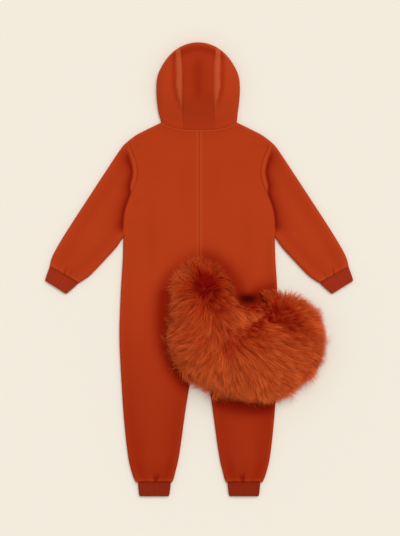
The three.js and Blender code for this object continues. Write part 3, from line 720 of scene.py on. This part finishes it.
# ---- Pile ----
def lie_of_pile(x, y):
    """The way the hair lies, in plan: outward from the parting on one lobe and from a swirl on the other."""
    t = smooth(-62, -262, y)
    cx = SWIRL[0] + (PARTING_END[0] - SWIRL[0]) * t
    cy = SWIRL[1] + (PARTING_END[1] - SWIRL[1]) * t
    first = unit(np.stack([x - cx, y - cy], -1))
    rel = np.stack([x - SECOND_SWIRL[0], y - SECOND_SWIRL[1]], -1)
    far = np.linalg.norm(rel, axis=-1)
    angle = np.degrees(np.arctan2(rel[..., 1], rel[..., 0]))
    share = np.where(angle >= 0, 1 - smooth(98, 134, angle), smooth(-62, -6, angle)) * smooth(4, 22, far)
    flow = first * (1 - share[..., None]) + unit(rel) * share[..., None]
    fall = mound(x, y, *FALL)[..., None]
    return unit(flow * (1 - fall) + np.array([0.42, -0.9]) * fall)


def ground(x, y):
    """Height of what the pile may lie on: the body and legs, or the floor."""
    ax = np.abs(x)
    outer, inner = edge_by_height(side_seam, y), np.where(y >= CROTCH_Y, -99, edge_by_height(inseam, y))
    d = np.minimum(outer - ax, ax - inner)
    return np.where(d > 0, 5 + 10 * rounded(np.clip(d, 0, 99), 9), 0.5)


def threes(items, key, kind):
    out = np.empty(len(items) * 3, kind)
    items.foreach_get(key, out)
    return out.reshape(-1, 3)


def roots_on(form, count, rng):
    """Places and normals spread over the form's top and sides."""
    me = form.data
    me.calc_loop_triangles()
    co = threes(me.vertices, "co", np.float32) / MM
    no = threes(me.vertex_normals, "vector", np.float32)
    tri = threes(me.loop_triangles, "vertices", np.int32)
    a, b, c = (co[tri[:, k]] for k in range(3))
    cross = np.cross(b - a, c - a)
    area = np.linalg.norm(cross, axis=1) / 2
    slope = cross[:, 2] / np.maximum(area * 2, 1e-9)
    height = ((a + b + c) / 3)[:, 2]
    weight = area * (slope > -0.6) * (height > 17)
    weight *= (1 + 0.35 * (slope < 0.5)) * (0.35 + 0.65 * smooth(24, 44, height))
    pick = rng.choice(len(tri), count, p=weight / weight.sum())
    u, v = rng.random(count), rng.random(count)
    flip = u + v > 1
    u, v = np.where(flip, 1 - u, u), np.where(flip, 1 - v, v)
    w = np.stack([1 - u - v, u, v], -1)[..., None]
    return (co[tri[pick]] * w).sum(1), unit((no[tri[pick]] * w).sum(1))


def hair_paths(place, normal, length, stand, turn, bend):
    """Points along each hair: it stands up at the root and bends over into the lie of the pile."""
    points = [place]
    down = np.array([0, 0, -1.0]) - normal * -normal[:, 2:3]
    for k in range(STEPS):
        t = (k + 0.5) / STEPS
        flow = lie_of_pile(points[-1][:, 0], points[-1][:, 1])
        c, s = np.cos(turn + bend * t), np.sin(turn + bend * t)
        turned = [flow[:, 0] * c - flow[:, 1] * s, flow[:, 0] * s + flow[:, 1] * c, np.zeros(len(flow))]
        flow = np.stack(turned, -1)
        lie = unit(flow - (flow * normal).sum(1, keepdims=True) * normal * 0.8 + 0.12 * down)
        rise = stand * (1 - t) ** 1.3 - 0.1 * t
        step = np.cos(rise)[:, None] * lie + np.sin(rise)[:, None] * normal
        step[:, 2] -= 0.3 * t * (1 - np.abs(normal[:, 2]))
        points.append(points[-1] + step * (length / STEPS)[:, None])
    return np.stack(points, 1)


def near_swirl(x, y):
    """1 in the heart of a swirl, running out round it, with the two patches of painted shade added."""
    first = np.exp(-(((x - 21 + (y + 56) * 0.33) / 12) ** 2) - ((y + 62) / 60) ** 2)
    along, across = ((x - 208) - (y + 140)) / 1.414, ((x - 208) + (y + 140)) / 1.414
    second = np.exp(-((along / 50) ** 2) - (across / 28) ** 2)
    share = first + 1.5 * second + 0.5 * mound(x, y, *SHADED_EAST) + 0.24 * mound(x, y, *SHADED_WEST)
    return np.clip(share, 0, 1)


def cut_short(x, y):
    """Share of its length that the hair keeps: less near a swirl and on the saddle between the lobes."""
    return (1 - 0.2 * near_swirl(x, y)) * (1 - 0.5 * mound(x, y, *SADDLE)) * (1 - 0.45 * mound(x, y, *SHORT))


def lock_table(form):
    """The locks that the hairs of every coat are drawn into, and a tree to find the nearest."""
    rng = np.random.default_rng(PILE["lock_seed"])
    place, normal = roots_on(form, PILE["locks"], rng)
    x, y = place[:, 0], place[:, 1]
    n = len(place)
    long = PILE["length"] * (0.82 + 0.36 * rng.random(n))
    stand = np.radians(32 + 20 * rng.random(n)) * (1 - 0.62 * mound(x, y, *SADDLE))
    turn = np.radians(8) * rng.standard_normal(n)
    bend = np.radians(10) * rng.standard_normal(n)
    tone = rng.random(n)
    guide = hair_paths(place, normal, long * cut_short(x, y), stand, turn, bend)
    tree = mathutils.kdtree.KDTree(n)
    for i, p in enumerate(place):
        tree.insert(p, i)
    tree.balance()
    return dict(tree=tree, guide=guide, long=long, stand=stand, turn=turn, bend=bend, tone=tone)


def ribbons(paths, normal, rng):
    """A tapered flat ribbon along each path, turned a little about its length: vertices, quads and tips."""
    m = len(paths)
    along = np.gradient(paths, axis=1)
    side = unit(np.cross(along, normal[:, None]))
    up = unit(np.cross(side, along))
    twist = np.radians(38) * rng.standard_normal(m)[:, None, None]
    side = side * np.cos(twist) + up * np.sin(twist)
    width = np.array(HAIR_WIDTHS)[None, :, None] * (0.8 + 0.5 * rng.random(m))[:, None, None]
    reach = side[:, :-1] * width
    pairs = np.stack([paths[:, :-1] - reach, paths[:, :-1] + reach], 2).reshape(m, -1, 3)
    verts = np.hstack([pairs, paths[:, -1:]])
    base = (np.arange(m) * verts.shape[1])[:, None]
    quads = np.vstack([base + (0, 1, 3, 2) + 2 * k for k in range(STEPS - 1)])
    tips = base + (0, 1, 2) + 2 * STEPS - 2
    return verts, quads, tips


def pile(form, locks, name, seed):
    """One coat of tapered hairs, drawn together into locks."""
    rng = np.random.default_rng(seed)
    place, normal = roots_on(form, PILE["strands"], rng)
    x, y = place[:, 0], place[:, 1]
    m = len(place)
    lock = np.array([locks["tree"].find(p)[1] for p in place])
    long = locks["long"][lock] * cut_short(x, y) * (0.84 + 0.26 * rng.random(m))
    stand, turn, bend = (
        locks[key][lock] + np.radians(spread) * rng.standard_normal(m)
        for key, spread in (("stand", 7), ("turn", 7), ("bend", 8))
    )
    paths = hair_paths(place, normal, long, stand, turn, bend)

    # Tone by lock, by hair and by place, dark in the heart of the first swirl
    rim = (1 - smooth(52, 105, distance(x, y, tail_edge))) * (1 - 0.5 * mound(x, y, *SADDLE))
    low = smooth(-170, -300, y) * (1 + 0.4 * smooth(80, 20, x))
    west = smooth(40, -20, x) * smooth(-260, -200, y)
    north = smooth(-70, -20, y) * smooth(110, 70, x) * rim
    tone = 0.46 * locks["tone"][lock] + 0.56 * rng.random(m) + 0.34 * rim + 0.26 * low
    tone = np.clip(tone + 0.2 * north - 0.02 * west - 0.17, 0, 1)
    tone = np.clip(tone - 0.6 * bump(np.hypot(x - SWIRL[0], y - SWIRL[1]), 0, 17), 0, 1)

    # Painted shade for hairs lying deep in the pile: in a parting, low on the side, and one in eight anywhere
    own = near_swirl(x, y)
    painted_shade = 0.2 * smooth(0.75, 0.2, normal[:, 2]) + 0.6 * (rng.random(m) < 0.13) * (1 - 0.6 * rim)
    deep = np.clip(own + painted_shade * (1 - own), 0, 1)

    # Each hair is drawn to its lock, more towards the tip, apart from the strays, and kept off the ground
    stray = rng.random(m) < 0.13
    pull = np.where(stray, 0.1, 0.56 + 0.28 * rng.random(m)) * (1 - 0.3 * rim)
    pull = pull[:, None, None] * (np.linspace(0, 1, STEPS + 1) ** 1.1)[None, :, None]
    paths = paths + pull * (locks["guide"][lock] - paths)
    floor = ground(paths[..., 0], paths[..., 1]) + 0.8 + 1.5 * rng.random(m)[:, None]
    paths[:, 1:, 2] = np.maximum(paths[:, 1:, 2], floor[:, 1:])

    verts, quads, tips = ribbons(paths, normal, rng)
    per = verts.shape[1]
    share = np.append(np.repeat(np.arange(STEPS) / STEPS, 2), 1.0)
    marks = {"along": np.tile(share, m), "tone": np.repeat(tone, per), "deep": np.repeat(deep, per)}
    uv = np.stack([marks["tone"], marks["along"]], -1)
    return mesh_object(name, verts.reshape(-1, 3), [quads, tips], uv, marks)


# ---- Nodes ----
def set_inputs(node, values):
    for key, value in values.items():
        node.inputs[key].default_value = value


def group(name, inputs, outputs):
    """A shader node group: its tree, the sockets that it is given and those that it gives out."""
    tree = bpy.data.node_groups.new(name, "ShaderNodeTree")
    for label, kind, value in inputs:
        socket = tree.interface.new_socket(label, in_out="INPUT", socket_type=kind)
        if value is not None:
            socket.default_value = value
    for label, kind in outputs:
        tree.interface.new_socket(label, in_out="OUTPUT", socket_type=kind)
    return tree, tree.nodes.new("NodeGroupInput").outputs, tree.nodes.new("NodeGroupOutput").inputs


def noise_at(tree, place, scale, detail=3.0, roughness=0.5):
    node = tree.nodes.new("ShaderNodeTexNoise")
    set_inputs(node, {"Scale": scale, "Detail": detail, "Roughness": roughness})
    tree.links.new(place, node.inputs["Vector"])
    return node.outputs["Fac"]


def math_node(tree, operation, a, b=None, c=None):
    node = tree.nodes.new("ShaderNodeMath")
    node.operation = operation
    for socket, value in zip(node.inputs, (a, b, c)):
        if isinstance(value, (int, float)):
            socket.default_value = value
        elif value is not None:
            tree.links.new(value, socket)
    return node.outputs[0]


def mix_colour(tree, share, a, b):
    node = tree.nodes.new("ShaderNodeMix")
    node.data_type = "RGBA"
    tree.links.new(share, node.inputs["Factor"])
    for key, value in (("A", a), ("B", b)):
        socket = [i for i in node.inputs if i.name == key and i.type == "RGBA"][0]
        if isinstance(value, tuple):
            socket.default_value = value
        else:
            tree.links.new(value, socket)
    return [o for o in node.outputs if o.type == "RGBA"][0]


def soft_ramp(tree, value, low, high):
    """0 below low and 1 above high, with a soft run between them."""
    node = tree.nodes.new("ShaderNodeMapRange")
    node.interpolation_type = "SMOOTHSTEP"
    set_inputs(node, {"From Min": low, "From Max": high})
    tree.links.new(value, node.inputs["Value"])
    return node.outputs["Result"]


# ---- Shader groups ----
VECTOR, FLOAT, COLOUR = "NodeSocketVector", "NodeSocketFloat", "NodeSocketColor"
# In each dye the third colour is painted shade and the fourth painted highlight
FLEECE_DYE = {
    "Light": (0.48, 0.047, 0.0094, 1), "Dark": (0.425, 0.0405, 0.0078, 1), "Deep": (0.27, 0.012, 0.002, 1),
    "Highlight": (0.52, 0.08, 0.026, 1),
}
RIB_DYE = {
    "Light": (0.37, 0.034, 0.0112, 1), "Dark": (0.32, 0.027, 0.0085, 1), "Deep": (0.13, 0.0085, 0.0015, 1),
    "Highlight": (0.4, 0.045, 0.016, 1),
}
HAIR = {"Root": (0.29, 0.0038, 0.0006, 1), "Middle": (0.49, 0.035, 0.0036, 1), "Tip": (1.0, 0.21, 0.047, 1)}


def nap_group():
    """Short brushed nap: a bumped normal and a fine light and dark speckle."""
    tree, given, out = group(
        "Nap", [("Place", VECTOR, None), ("Bump", FLOAT, 0.4)], [("Speckle", FLOAT), ("Normal", VECTOR)]
    )
    place = given["Place"]
    fine = noise_at(tree, place, 620, 2)
    tufts = noise_at(tree, place, 170, 3, 0.6)
    soft = noise_at(tree, place, 34, 2)
    height = math_node(tree, "MULTIPLY_ADD", tufts, 1.6, fine)
    height = math_node(tree, "MULTIPLY_ADD", soft, 2.4, height)
    relief = tree.nodes.new("ShaderNodeBump")
    set_inputs(relief, {"Distance": 0.0011})
    tree.links.new(given["Bump"], relief.inputs["Strength"])
    tree.links.new(height, relief.inputs["Height"])
    speckle = math_node(tree, "MULTIPLY_ADD", tufts, 0.5, math_node(tree, "MULTIPLY", fine, 0.5))
    tree.links.new(speckle, out["Speckle"])
    tree.links.new(relief.outputs["Normal"], out["Normal"])


def dye_group():
    """Cloth colour: light and dark by the nap and by broad uneven patches, with painted shade where the
    shading input is above nought, painted shadow near black above one, and painted highlight below nought.
    """
    colours = [(label, COLOUR, value) for label, value in FLEECE_DYE.items()]
    values = [("Place", VECTOR, None), ("Speckle", FLOAT, 0.5), ("Fold", FLOAT, 0.0)]
    tree, given, out = group("Dye", values + colours, [("Color", COLOUR)])
    fold = given["Fold"]
    patches = noise_at(tree, given["Place"], 7, 2)
    speckle = math_node(tree, "MULTIPLY", given["Speckle"], 0.9)
    share = math_node(tree, "SUBTRACT", math_node(tree, "MULTIPLY_ADD", patches, 0.9, speckle), 0.4)
    cloth = mix_colour(tree, share, given["Light"], given["Dark"])
    # Painted highlight where the shading is below nought, painted shade where it is above nought
    raised = math_node(tree, "MAXIMUM", math_node(tree, "MULTIPLY", fold, -1.0), 0.0)
    cloth = mix_colour(tree, raised, cloth, given["Highlight"])
    painted_shade = math_node(tree, "MINIMUM", math_node(tree, "MAXIMUM", fold, 0.0), 1.0)
    cloth = mix_colour(tree, painted_shade, cloth, given["Deep"])
    # Painted shadow: above one the cloth runs to near black
    hidden = math_node(tree, "MAXIMUM", math_node(tree, "SUBTRACT", fold, 1.0), 0.0)
    cloth = mix_colour(tree, hidden, cloth, (0.06, 0.002, 0.0003, 1))
    tree.links.new(cloth, out["Color"])


def coat_group():
    """Hair colour from root to tip, with a tone of its own for each lock, and painted shade that gives hairs
    deep in the pile more of the root colour.
    """
    colours = [(label, COLOUR, value) for label, value in HAIR.items()]
    values = [("Along", FLOAT, 0.5), ("Tone", FLOAT, 0.5), ("Deep", FLOAT, 0.0)]
    tree, given, out = group("Coat", values + colours, [("Color", COLOUR)])
    # Painted shade: hairs deep in the pile keep the root colour further out
    painted_shade = math_node(tree, "MULTIPLY", given["Deep"], 0.42)
    along = math_node(tree, "SUBTRACT", given["Along"], painted_shade)
    middle = soft_ramp(tree, along, 0.06, 0.46)
    lower = mix_colour(tree, middle, given["Root"], given["Middle"])
    tone = math_node(tree, "MULTIPLY_ADD", given["Tone"], 0.95, 0.05)
    tip = math_node(tree, "MULTIPLY", soft_ramp(tree, along, 0.24, 0.9), tone)
    tree.links.new(mix_colour(tree, tip, lower, given["Tip"]), out["Color"])


# ---- Materials ----
def material(name, values):
    mat = bpy.data.materials.new(name)
    mat.use_nodes = True
    shader = mat.node_tree.nodes["Principled BSDF"]
    set_inputs(shader, values)
    return mat, mat.node_tree, shader


def use_group(tree, name, values):
    node = tree.nodes.new("ShaderNodeGroup")
    node.node_tree = bpy.data.node_groups[name]
    set_inputs(node, values)
    return node


def attribute(tree, name):
    node = tree.nodes.new("ShaderNodeAttribute")
    node.attribute_name = name
    return node.outputs["Fac"]


def cloth_material(name, colours, bump_strength, sheen, sheen_tint):
    """colours has the dye's light and dark colours, then its painted shade and painted highlight colours."""
    mat, tree, shader = material(name, {
        "Roughness": 0.95, "Specular IOR Level": 0.03, "Sheen Weight": sheen, "Sheen Roughness": 0.45,
        "Sheen Tint": sheen_tint,
    })
    place = tree.nodes.new("ShaderNodeTexCoord").outputs["Object"]
    nap = use_group(tree, "Nap", {"Bump": bump_strength})
    dye = use_group(tree, "Dye", colours)
    tree.links.new(place, nap.inputs["Place"])
    tree.links.new(place, dye.inputs["Place"])
    tree.links.new(nap.outputs["Speckle"], dye.inputs["Speckle"])
    tree.links.new(attribute(tree, "fold"), dye.inputs["Fold"])
    tree.links.new(dye.outputs["Color"], shader.inputs["Base Color"])
    tree.links.new(nap.outputs["Normal"], shader.inputs["Normal"])
    return mat


def fur_material():
    mat, tree, shader = material("Fur", {
        "Roughness": 0.55, "Specular IOR Level": 0.03, "Sheen Weight": 0.05, "Sheen Tint": (1, 0.5, 0.3, 1),
    })
    coat = use_group(tree, "Coat", HAIR)
    for label in ("Along", "Tone", "Deep"):
        tree.links.new(attribute(tree, label.lower()), coat.inputs[label])
    tree.links.new(coat.outputs["Color"], shader.inputs["Base Color"])
    return mat


def mottled_material(name, scale, detail, first, second, roughness):
    """One even material that runs between two near colours."""
    mat, tree, shader = material(name, {"Roughness": roughness})
    place = tree.nodes.new("ShaderNodeTexCoord").outputs["Object"]
    colour = mix_colour(tree, noise_at(tree, place, scale, detail), first, second)
    tree.links.new(colour, shader.inputs["Base Color"])
    return mat


nap_group()
dye_group()
coat_group()
fleece = cloth_material("Fleece", FLEECE_DYE, 0.3, 0.1, (1, 0.3, 0.12, 1))
rib = cloth_material("Rib knit", RIB_DYE, 0.25, 0.06, (1, 0.3, 0.15, 1))
fur = fur_material()
backing = mottled_material("Fur backing", 120, 3, (0.2, 0.006, 0.0012, 1), (0.3, 0.012, 0.003, 1), 0.95)
horn = mottled_material("Button", 160, 2, (0.16, 0.028, 0.012, 1), (0.22, 0.045, 0.02, 1), 0.45)
pale_floor = material("Pale floor", {
    "Base Color": (0.878, 0.82, 0.712, 1), "Roughness": 0.9, "Specular IOR Level": 0.1,
})[0]


# ---- Pieces ----
def finish_piece(obj, mat, node=None):
    obj.data.materials.append(mat)
    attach(obj, "root")
    if node:
        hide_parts(node)
    return obj


def area_between(*lines):
    """Area of the closed outline that these lines make, in square metres."""
    p = np.vstack(lines)
    q = np.roll(p, -1, 0)
    return abs((p[:, 0] * q[:, 1] - q[:, 0] * p[:, 1]).sum()) / 2 * MM * MM


def sheet(obj, mat, flat, rests_on="Floor", **known):
    """A laid sheet that stands for the solid of its own name; its flat size in metres is not used."""
    finish_piece(obj, mat, obj.name.lower())


half_back = area_between(top_edge, armhole, side_seam, inseam[::-1])
half_front = area_between(np.vstack([front_neck, shoulder_seam]), armhole, side_seam, inseam[::-1])
sleeve_area = 2 * area_between(overarm, wrist_seam, underarm[::-1], armhole[::-1])

for word, side in (("left", -1), ("right", 1)):
    sheet(front_panel(side, f"Front_{word}"), fleece, (0.223, 1.004), area=half_front)
    sheet(back_panel(side, f"Back_{word}"), fleece, (0.223, 1.004), rests_on=f"Front_{word}", area=half_back)
    sheet(sleeve(side, f"Sleeve_{word}"), fleece, (0.56, 0.43), area=sleeve_area)
    sheet(hood_side(side, f"Hood_side_{word}"), fleece, (0.175, 0.3), area=0.038)
    sheet(cuff(side, f"Wrist_cuff_{word}", WRIST), rib, (0.2, 0.0435))
    sheet(cuff(side, f"Ankle_cuff_{word}", ANKLE), rib, (0.21, 0.0395))
hood_sides = ["Hood_side_left", "Hood_side_right"]
sheet(hood_centre("Hood_centre"), fleece, (0.102, 0.33), rests_on=hood_sides, area=0.0305)
for word, above in (("outer", 0.0), ("inner", FLEECE + GAP)):
    sheet(placket_band(above, f"Placket_{word}"), fleece, (0.036, 0.524))
for number in range(1, 6):
    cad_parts[f"button_{number}"].material_slots[0].material = horn

form = finish_piece(tail_form("Tail_form"), backing, "tail")
locks = lock_table(form)
for number in range(PILE["pieces"]):
    seed = PILE["first_seed"] + number
    finish_piece(pile(form, locks, f"Tail_pile_{number + 1}", seed), fur)


# ---- Floor in millimetres, light and camera in metres ----
FLOOR_CORNERS = [(-9000, -9000, 0), (9000, -9000, 0), (9000, 9000, 0), (-9000, 9000, 0)]
FLOOR_Z = -0.6
KEY_PLACE = (0.9, 2.1, 4.2)
KEY_POWER = 1.64
KEY_ANGLE = 0.75
SKY_POWER = 0.56
CAMERA_PLACE = (0.0025, 0.0035, 6.0)
LENS = 143.9
SENSOR = 36

floor = mesh_object("Floor", FLOOR_CORNERS, [np.array([[0, 1, 2, 3]])])
floor.location.z = FLOOR_Z * MM
floor.data.materials.append(pale_floor)

key_data = bpy.data.lights.new("Key", "SUN")
key_data.energy = KEY_POWER
key_data.angle = KEY_ANGLE
key = placed("Key", key_data)
key.location = KEY_PLACE
key.rotation_euler = key.location.to_track_quat("Z", "Y").to_euler()

scene = bpy.context.scene
scene.world = bpy.data.worlds.new("Studio")
scene.world.use_nodes = True
set_inputs(scene.world.node_tree.nodes["Background"], {"Color": (1, 1, 1, 1), "Strength": SKY_POWER})
scene.view_settings.view_transform = "Standard"

camera_data = bpy.data.cameras.new("Camera")
camera_data.lens = LENS
camera_data.sensor_width = SENSOR
camera = placed("Camera", camera_data)
camera.location = CAMERA_PLACE
scene.camera = camera
